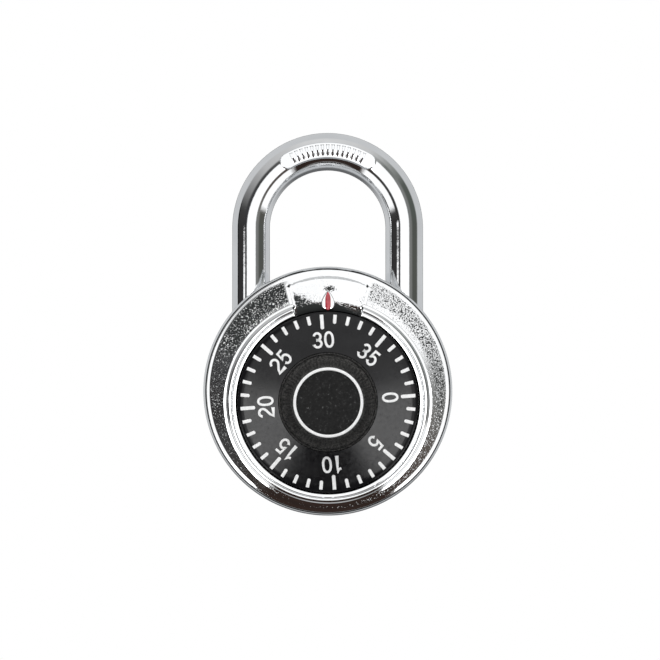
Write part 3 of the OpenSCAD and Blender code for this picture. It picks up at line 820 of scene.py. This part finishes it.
def shackle_rows():
    """Sections of the bar from the heel's end over the bow to the toe's. A station is the section's
    centre, its sideways direction and its radius."""
    end = [(0, BAR_R - CHAMFER), (0.05, BAR_R - CHAMFER + 0.06), (CHAMFER - 0.03, BAR_R - 0.04),
           (CHAMFER + 0.05, BAR_R)]
    heel = [(HEEL_END_Y + d, r) for d, r in end]
    heel += [(COLLAR_Y[0] - 0.01, BAR_R), (COLLAR_Y[0], COLLAR_GROOVE_R),
             (COLLAR_Y[1], COLLAR_GROOVE_R), (COLLAR_Y[1] + 0.01, BAR_R)]
    y = COLLAR_Y[1] + 0.3
    while y < SPRING_Y - 0.5:
        heel.append((y, BAR_R))
        y += 1.0
    toe = []
    y = SPRING_Y - 1
    while y > TOE_END_Y + CHAMFER + 0.3:
        toe.append((y, BAR_R))
        y -= 1.0
    toe += [(TOE_END_Y + d, r) for d, r in reversed(end)]
    stations = [(LEG_X, y, 1, 0, r) for y, r in heel]
    # every degree of the bow, and every fifth of one along the pad
    turns = [*range(52), *(52 + i * 0.2 for i in range(381)), *range(129, 181)]
    for a in map(math.radians, turns):
        stations.append((LEG_X * math.cos(a), SPRING_Y + LEG_X * math.sin(a), math.cos(a),
                         math.sin(a), BAR_R))
    stations += [(-LEG_X, y, -1, 0, r) for y, r in toe]
    steps = FINE_POINTS - 1
    around_bar = [math.asin((2 * i / steps - 1) * FINE_HALF_W / BAR_R) for i in range(FINE_POINTS)]
    start, gap = around_bar[-1], around_bar[0] + math.tau - around_bar[-1]
    around_bar += [start + gap * i / 60 for i in range(1, 60)]
    rows = []
    for cx, cy, nx, ny, r in stations:
        row = []
        for b in around_bar:
            u, w = r * math.sin(b), r * math.cos(b)
            if ny > 0.4 and w > 0:
                # the pad's middle line is a little outside the bar's own
                top, there = pad_height(u + LEG_X - PAD_MIDDLE_R,
                                        PAD_MIDDLE_R * math.atan2(-nx, ny))
                w += there * max(top - w, 0)
            row.append((cx + u * nx, cy + u * ny, w))
        rows.append(row)
    return rows


shackle = solid("shackle_bar", *grid(shackle_rows()), sharp=50)


def notch_cutter():
    inner = BAR_R - LEG_X
    outline = [(inner + 1, NOTCH_Y[1]), (inner - NOTCH_DEPTH, NOTCH_Y[1]),
               (inner - NOTCH_DEPTH, NOTCH_Y[0]), (inner - LIP_DEPTH, TOE_END_Y),
               (inner - LIP_DEPTH, TOE_END_Y - 1), (inner + 1, TOE_END_Y - 1)]
    return solid("notch", *grid([[(x, y, z) for x, y in outline] for z in (-6, 6)]))


subtract(shackle, [notch_cutter()])
finish_piece(shackle, shackle_chrome, "shackle", "shackle_chrome", "shackle")

# ---------------- dial

DIAL_EDGE_R = DIAL_R - 0.3  # where the dark bevel of the dial's edge begins
CONE_FOOT_Z = DIAL_FACE_Z - 0.6
TICKS = 40
ZERO_AT = math.radians(85.7)  # where the 0 stands when the gates are in line
TICK_OUTER_R = 16.8
MINOR_R, MAJOR_R = 15.05, 13.98
MINOR_W, MAJOR_W = 0.65, 0.69
PAINT = 0.035  # how far the paint stands off the dial
NUMBER_R = 11.95  # middle of the numbers
NUMBER_H = 3.2


def cone_z(r):
    share = (DIAL_EDGE_R - r) / (DIAL_EDGE_R - KNOB_R)
    return CONE_FOOT_Z + (DIAL_FACE_Z - CONE_FOOT_Z) * min(share, 1)


dial_outline = [(2.6, DIAL_BACK_Z), (DIAL_R - 0.3, DIAL_BACK_Z), (DIAL_R, DIAL_BACK_Z + 0.3),
                (DIAL_R, CONE_FOOT_Z - 0.24), (DIAL_R - 0.01, CONE_FOOT_Z - 0.21),
                (DIAL_EDGE_R + 0.03, CONE_FOOT_Z - 0.03),
                (DIAL_EDGE_R - 0.03, cone_z(DIAL_EDGE_R - 0.03))]
dial_outline += [(r, cone_z(r)) for r in (16, 14, 12, 10.5, KNOB_R + 0.12)]
dial_outline += [(KNOB_R + 0.06, DIAL_FACE_Z - 0.12), (KNOB_R - 0.1, DIAL_FACE_Z - 0.25),
                 (2.6, DIAL_FACE_Z - 0.25)]
dial = lathe("dial_face", dial_outline, DIAL, ring=True)
finish_piece(dial, dial_black, "dial", "dial_black", "dial_disc")


def on_dial(u, v, angle, height):
    """A point of the paint: u to the right and v outwards from the dial's axis, turned by the
    angle clockwise, and set on the dial's cone."""
    x = u * math.cos(angle) + v * math.sin(angle)
    y = -u * math.sin(angle) + v * math.cos(angle)
    return DIAL[0] + x, DIAL[1] + y, cone_z(math.hypot(u, v)) + height


def tick_mesh(inner, width, angle):
    """One division: a bar of paint with a rounded inner end."""
    half, middle = width / 2, (TICK_OUTER_R + inner) / 2
    outline = [(-half, TICK_OUTER_R), (-half, middle)]
    for i in range(9):
        a = math.pi * i / 8
        outline.append((-half * math.cos(a), inner + half * 0.8 * (1 - math.sin(a))))
    outline += [(half, middle), (half, TICK_OUTER_R)]
    rows = []
    for shrink, h in ((0, -0.05), (0, PAINT * 0.5), (0.07, PAINT), (0.5, PAINT)):
        rows.append([on_dial(u * (1 - shrink), v + (middle - v) * shrink * 0.3, angle, h)
                     for u, v in outline])
    return grid(rows)


for n in range(TICKS):
    major = n % 5 == 0
    angle = ZERO_AT + math.tau * n / TICKS
    tick = solid(f"tick_{n:02d}", *tick_mesh(MAJOR_R if major else MINOR_R,
                                             MAJOR_W if major else MINOR_W, angle), sharp=60)
    finish_piece(tick, paint_white, "dial", "ring_white")


STROKE = 0.46  # width of the numbers' line
DIGIT_X = 0.72  # half of a digit's width and height, along its line
DIGIT_Y = (NUMBER_H - STROKE) / 2
DIGIT_STEP = 2.2


def bow(cx, cy, rx, ry, start, end, steps=22):
    """Part of an ellipse, with its angles in degrees from +x towards +y."""
    angles = [math.radians(start + (end - start) * i / steps) for i in range(steps + 1)]
    return [(cx + rx * math.cos(a), cy + ry * math.sin(a)) for a in angles]


def zero():
    """A closed oval with rather straight sides."""
    points = []
    for i in range(48):
        c, v = math.cos(math.tau * i / 48), math.sin(math.tau * i / 48)
        points.append((DIGIT_X * math.copysign(abs(c) ** 0.88, c),
                       DIGIT_Y * math.copysign(abs(v) ** 0.88, v)))
    return points


END_Y = DIGIT_Y + STROKE / 2
STROKES = {
    "0": [zero()],
    "1": [[(-0.5, 0.86), (-0.1, 0.98), (0.12, 1.22), (0.22, END_Y), (0.22, 0.5), (0.22, -END_Y)]],
    "2": [bow(0, 0.62, DIGIT_X, 0.73, 172, -32)
          + [(0.3, -0.12), (-0.35, -0.72), (-DIGIT_X, -DIGIT_Y), (DIGIT_X + 0.2, -DIGIT_Y)]],
    "3": [bow(-0.04, 0.69, 0.64, 0.66, 168, -90) + [(-0.26, 0.03)],
          [(-0.26, 0.03)] + bow(-0.02, -0.66, DIGIT_X, 0.69, 90, -168)],
    "5": [[(0.64, DIGIT_Y), (-0.46, DIGIT_Y), (-0.66, 0.02)]
          + bow(-0.02, -0.48, DIGIT_X, 0.87, 140, -158)],
}


def stroke_mesh(path, place):
    """A flat line of paint along a path. place puts a point and its height on the dial."""
    n = len(path)
    closed = n > 40
    rows = []
    for i, (x, y) in enumerate(path):
        before = path[i - 1] if i or closed else path[0]
        after = path[(i + 1) % n] if i < n - 1 or closed else path[-1]
        d0, d1 = (Vector((x - before[0], y - before[1])), Vector((after[0] - x, after[1] - y)))
        d0, d1 = d0 or d1, d1 or d0
        along = (d0.normalized() + d1.normalized()).normalized()
        miter = min(1 / max(along.dot(d1.normalized()), 0.3), 1.5)
        side = Vector((-along.y, along.x)) * STROKE / 2 * miter
        rows.append([place(x + side.x * share, y + side.y * share, h)
                     for share, h in ((1, -0.05), (1, 0.6 * PAINT), (0.86, PAINT), (-0.86, PAINT),
                                      (-1, 0.6 * PAINT), (-1, -0.05))])
    return grid(rows, closed_rows=closed)


def number_mesh(n):
    """The number beside a major division, its top outwards."""
    angle = ZERO_AT + math.tau * n / TICKS
    digits = str(n)
    points, faces = [], []
    for k, digit in enumerate(digits):
        shift = DIGIT_STEP * (k - (len(digits) - 1) / 2)
        for path in STROKES[digit]:
            more, loops = stroke_mesh(path, lambda x, y, h: on_dial(x + shift, y + NUMBER_R,
                                                                    angle, h))
            faces += [tuple(len(points) + i for i in loop) for loop in loops]
            points += more
    return points, faces


for n in range(0, TICKS, 5):
    finish_piece(solid(f"number_{n:02d}", *number_mesh(n), sharp=60), paint_white, "dial",
                 "ring_white")

# ---------------- knob

RIDGES = 72
RIDGE_DEPTH = 0.22
RING_OUTER_R, RING_INNER_R = 6.66, 6.07
CREST_R = RING_OUTER_R + 0.12  # the knob's edge outside the white ring
FOOT_GROOVE = (0.24, 0.5)  # groove in the foot, inside its edge
# The knurled cone: how far its foot is inside the knob's and its top outside the crest, and how far
# it draws in between them
SHOULDER, FLARE, WAIST = 0.8, 0.28, 0.385


def knob_mesh():
    """The knob, from its plain foot up a knurled cone to the seat of the white ring and its top.
    skirt is 1 outside the ring and 0 inside it."""
    foot, top = KNOB_FOOT_Z, KNOB_TOP_Z
    cone_foot, cone_top = foot + 0.95, top - 0.85
    sections = [(2.6, foot, 0), (KNOB_R - 0.05, foot, 0), (KNOB_R, foot + 0.06, 0),
                (KNOB_R, foot + 0.5, 0), (KNOB_R - 0.1, foot + 0.6, 0),
                (KNOB_R - FOOT_GROOVE[0] + 0.02, foot + 0.62, 0),
                (KNOB_R - FOOT_GROOVE[0], foot + 0.1, 0), (KNOB_R - FOOT_GROOVE[1], foot + 0.1, 0),
                (KNOB_R - FOOT_GROOVE[1] - 0.02, foot + 0.74, 0)]
    for i in range(14):
        t = i / 13
        r = KNOB_R - SHOULDER + (CREST_R + FLARE - KNOB_R + SHOULDER) * t ** 0.9
        sections.append((r - WAIST * math.sin(math.pi * t), cone_foot + (cone_top - cone_foot) * t,
                         smooth(0, 0.12, t) * smooth(1.0, 0.93, t)))
    sections += [(CREST_R + 0.08, top - 0.62, 0), (CREST_R, top - 0.42, 0),
                 (CREST_R - 0.06, top - 0.3, 0),
                 (RING_OUTER_R - 0.02, top - 0.26, 0), (RING_OUTER_R - 0.02, top - 0.6, 0),
                 (RING_INNER_R + 0.02, top - 0.6, 0), (RING_INNER_R + 0.02, top - 0.12, 0),
                 (RING_INNER_R - 0.05, top - 0.03, 0), (RING_INNER_R - 0.2, top, 0),
                 (4, top, 0), (2, top - 0.02, 0), (0.3, top - 0.02, 0)]
    n = RIDGES * 8
    rows, skirt = [], []
    for r, z, knurl in sections:
        rows.append(around(r, z, DIAL, n, lambda a: -RIDGE_DEPTH * knurl
                           * (0.5 - 0.5 * math.cos(RIDGES * a)) ** 0.8))
        skirt += [1.0 if r > CREST_R - 0.1 else 0.0] * n
    return (*grid(rows), skirt)


points, faces, skirt = knob_mesh()
knob = solid("knob_body", points, faces, sharp=55)
give_attribute(knob, "skirt", skirt)
finish_piece(knob, knob_black, "dial", "knob_black", "knob")

ring_outline = [(RING_INNER_R + 0.03, KNOB_TOP_Z - 0.55), (RING_OUTER_R - 0.03, KNOB_TOP_Z - 0.55),
                (RING_OUTER_R - 0.02, KNOB_TOP_Z - 0.2), (RING_OUTER_R - 0.1, KNOB_TOP_Z - 0.11),
                (RING_OUTER_R - 0.3, KNOB_TOP_Z - 0.06), (RING_INNER_R + 0.2, KNOB_TOP_Z - 0.06),
                (RING_INNER_R + 0.03, KNOB_TOP_Z - 0.12)]
knob_band = lathe("knob_band", ring_outline, DIAL, ring=True)
finish_piece(knob_band, paint_white, "dial", "ring_white", "knob_ring")

# ---------------- inner parts, as the CAD has them

for material, names in ((plate_steel, "front_plate rear_plate"),
                        (turned_steel, "plate_posts lever_post latch_post spindle"),
                        (bush_brass, "spindle_bearing heel_guide toe_guide heel_collar"),
                        (spring_steel, "lever_spring latch_spring wheel_spring"),
                        (spring_steel, "wheel_spacers tension_washer spindle_clip"),
                        (wheel_brass, "drive_cam middle_wheel rear_wheel"),
                        (lever_steel, "locking_lever latch")):
    for name in names.split():
        inner = frame["nodes"][name].data
        inner.materials.clear()
        inner.materials.append(material)

# ---------------- camera, floor and studio, in metres

CAMERA_DISTANCE = 0.65
CAMERA_X, CAMERA_RISE = -0.0045, 0.0032  # where the camera stands, from the case's centre
PICTURE_PLANE_Y = -0.008  # plane in which the picture is measured
VIEW_WIDTH = 0.1268  # how wide the picture is there
VIEW_CENTRE = (0.000395, 0.011745)  # and where its middle is, from the case's centre
SENSOR = 36
FLOOR_HALF, FLOOR_Z = 1.6, -0.32
FILL_PLACE, FILL_TILT, FILL_SIZE, FILL_WATTS = (0, -0.9, 0.95), 42, 1.2, 10

ahead = CAMERA_DISTANCE + PICTURE_PLANE_Y
camera_data = bpy.data.cameras.new("camera")
camera_data.sensor_width = SENSOR
camera_data.lens = SENSOR * ahead / VIEW_WIDTH
camera_data.clip_start, camera_data.clip_end = 0.01, 20
camera = add_object("camera", camera_data)
camera.location = (CAMERA_X, -CAMERA_DISTANCE, CASE_CENTRE_Z * MM + CAMERA_RISE)
camera.rotation_euler = (math.pi / 2 + math.atan((VIEW_CENTRE[1] - CAMERA_RISE) / ahead), 0,
                         -math.atan((VIEW_CENTRE[0] - CAMERA_X) / ahead))
bpy.context.scene.camera = camera
bpy.context.scene.view_settings.view_transform = "Standard"

floor_mesh = bpy.data.meshes.new("floor")
corners = [(-1, -1), (1, -1), (1, 1), (-1, 1)]
floor_mesh.from_pydata([(u * FLOOR_HALF, v * FLOOR_HALF, FLOOR_Z) for u, v in corners], [],
                       [(0, 1, 2, 3)])
floor = add_object("floor", floor_mesh)
floor_finish = Finish("floor_pale", 0.86, 0.9)
floor_finish.colour(floor_finish.noise(60, 2), [(0.3, 0.85), (0.7, 0.89)])
floor_mesh.materials.append(floor_finish.material)
floor.visible_glossy = False


class Studio(Nodes):
    """The studio round the object, as a function of direction. Angles are in degrees: off is the
    angle away from the line to the viewer, and turn is clockwise from the top round that line."""

    def __init__(self):
        world = bpy.data.worlds.new("studio")
        world.use_nodes = True
        bpy.context.scene.world = world
        super().__init__(world.node_tree)
        split = self.tree.nodes.new("ShaderNodeSeparateXYZ")
        self.feed(split.inputs[0], self.tree.nodes.new("ShaderNodeTexCoord").outputs["Generated"])
        x, y, z = split.outputs
        towards = self.math("MULTIPLY", y, -1)
        self.off = self.degrees("ARCCOSINE", towards)
        self.turn = self.degrees("ARCTAN2", x, z)
        self.azimuth = self.degrees("ARCTAN2", x, towards)
        self.elevation = self.degrees("ARCSINE", z)

    def degrees(self, operation, *values):
        return self.math("MULTIPLY", self.math(operation, *values), 180 / math.pi)

    def step(self, value, lo, hi):
        """0 at lo and 1 at hi, whichever is the greater, with a soft step between them."""
        node = self.tree.nodes.new("ShaderNodeMapRange")
        node.interpolation_type = "SMOOTHSTEP"
        for socket, given in (("Value", value), ("From Min", min(lo, hi)), ("From Max", max(lo, hi)),
                              ("To Min", 0 if lo < hi else 1), ("To Max", 1 if lo < hi else 0)):
            self.feed(node.inputs[socket], given)
        return node.outputs["Result"]

    def between(self, value, lo, hi, soft):
        return self.math("MULTIPLY", self.step(value, lo - soft, lo + soft),
                         self.step(value, hi + soft, hi - soft))


BRIGHT, WHITE, ROOM = 5.0, 1.15, (0.60, 0.61, 0.62)
FURNITURE = (0.05, 0.052, 0.056)
BROWN, DARK_BROWN = (0.035, 0.022, 0.018), (0.030, 0.020, 0.017)
# What stands round the white middle: turn, where it starts, its colour there and further out
SURROUND = [
    (-180, 7, BROWN, DARK_BROWN),
    (-150, 9, BROWN, DARK_BROWN),
    (-138, 28, (0.045, 0.04, 0.038), (0.12, 0.12, 0.11)),
    (-115, 28, 0.05, 0.10),
    (-92, 26, (0.030, 0.028, 0.028), (0.030, 0.028, 0.028)),
    (-75, 24, (0.045, 0.045, 0.048), 0.050),
    (-60, 20, (0.050, 0.050, 0.052), 0.28),
    (-44, 19, 0.06, 0.50),
    (-27, 20, 0.12, 0.60),
    (-14, 34, 0.40, 0.70),
    (0, 50, 0.78, 0.72),
    (28, 40, 0.50, 0.60),
    (42, 34, (0.18, 0.19, 0.18), (0.33, 0.34, 0.33)),
    (58, 31, (0.22, 0.225, 0.22), (0.10, 0.11, 0.10)),
    (78, 29, (0.20, 0.205, 0.20), (0.09, 0.10, 0.09)),
    (95, 29, (0.20, 0.20, 0.19), (0.09, 0.09, 0.08)),
    (120, 29, (0.11, 0.095, 0.085), (0.12, 0.11, 0.10)),
    (140, 29, (0.08, 0.062, 0.055), (0.12, 0.11, 0.10)),
    (150, 9, BROWN, DARK_BROWN),
    (180, 7, BROWN, DARK_BROWN),
]


def paint_sky(s):
    """What the chrome mirrors in each direction: one layer over another, from the middle outwards."""
    turn_share = s.math("ADD", s.math("DIVIDE", s.turn, 360), 0.5)
    rows = [(turn / 360 + 0.5, start / 90, near, far) for turn, start, near, far in SURROUND]
    start, near, far = (s.ramp(turn_share, [(row[0], row[k]) for row in rows]) for k in (1, 2, 3))
    # two lamps either side of the viewer, a little below the line to them
    lamps = s.math("MULTIPLY", s.between(s.math("ABSOLUTE", s.azimuth), 5.5, 15, 2),
                   s.between(s.elevation, -16, 1.5, 2))
    sky = s.mix(lamps, WHITE, BRIGHT)
    past = s.math("SUBTRACT", s.off, s.math("MULTIPLY", 90, start))
    sky = s.mix(s.step(past, -3, 3), sky, s.mix(s.step(past, 12, 26), near, far))
    # white again further out, below the viewer on either side
    low_sides = s.math("MULTIPLY", s.between(s.math("ABSOLUTE", s.turn), 103, 147, 4),
                       s.step(s.off, 41, 46))
    sky = s.mix(low_sides, sky, WHITE)
    # the room behind the object: pale, with dark furniture low down and straight behind
    low_down = s.math("MULTIPLY", s.step(s.math("ABSOLUTE", s.turn), 96, 150),
                      s.step(s.off, 104, 128))
    dark = s.math("MAXIMUM", low_down, s.step(s.off, 150, 166))
    room = s.mix(s.math("MULTIPLY", dark, 0.85), ROOM, FURNITURE)
    sky = s.mix(s.step(s.off, 80, 92), sky, room)
    # a thin black line beside the object on the left, and a bright slit in front of it
    line = s.math("MULTIPLY", s.between(s.turn, -122, -68, 8), s.between(s.off, 82, 90, 1.5))
    sky = s.mix(line, sky, 0.001)
    slit = s.math("MULTIPLY", s.between(s.azimuth, -47, -36, 1.5),
                  s.between(s.elevation, -0.6, 2.2, 0.6))
    sky = s.mix(slit, sky, WHITE)
    # grey straight below
    return s.mix(s.step(s.elevation, -60, -80), sky, 0.5)


studio = Studio()
seen_directly = studio.tree.nodes.new("ShaderNodeLightPath").outputs["Is Camera Ray"]
studio.feed(studio.tree.nodes["Background"].inputs["Color"],
            studio.mix(seen_directly, paint_sky(studio), 1.0))

fill_data = bpy.data.lights.new("fill", "AREA")
fill_data.shape, fill_data.size, fill_data.size_y = "RECTANGLE", FILL_SIZE, FILL_SIZE
fill_data.energy = FILL_WATTS
fill = add_object("fill", fill_data)
fill.location = FILL_PLACE
fill.rotation_euler = (math.radians(FILL_TILT), 0, 0)
fill.visible_glossy = False
fill.visible_camera = False
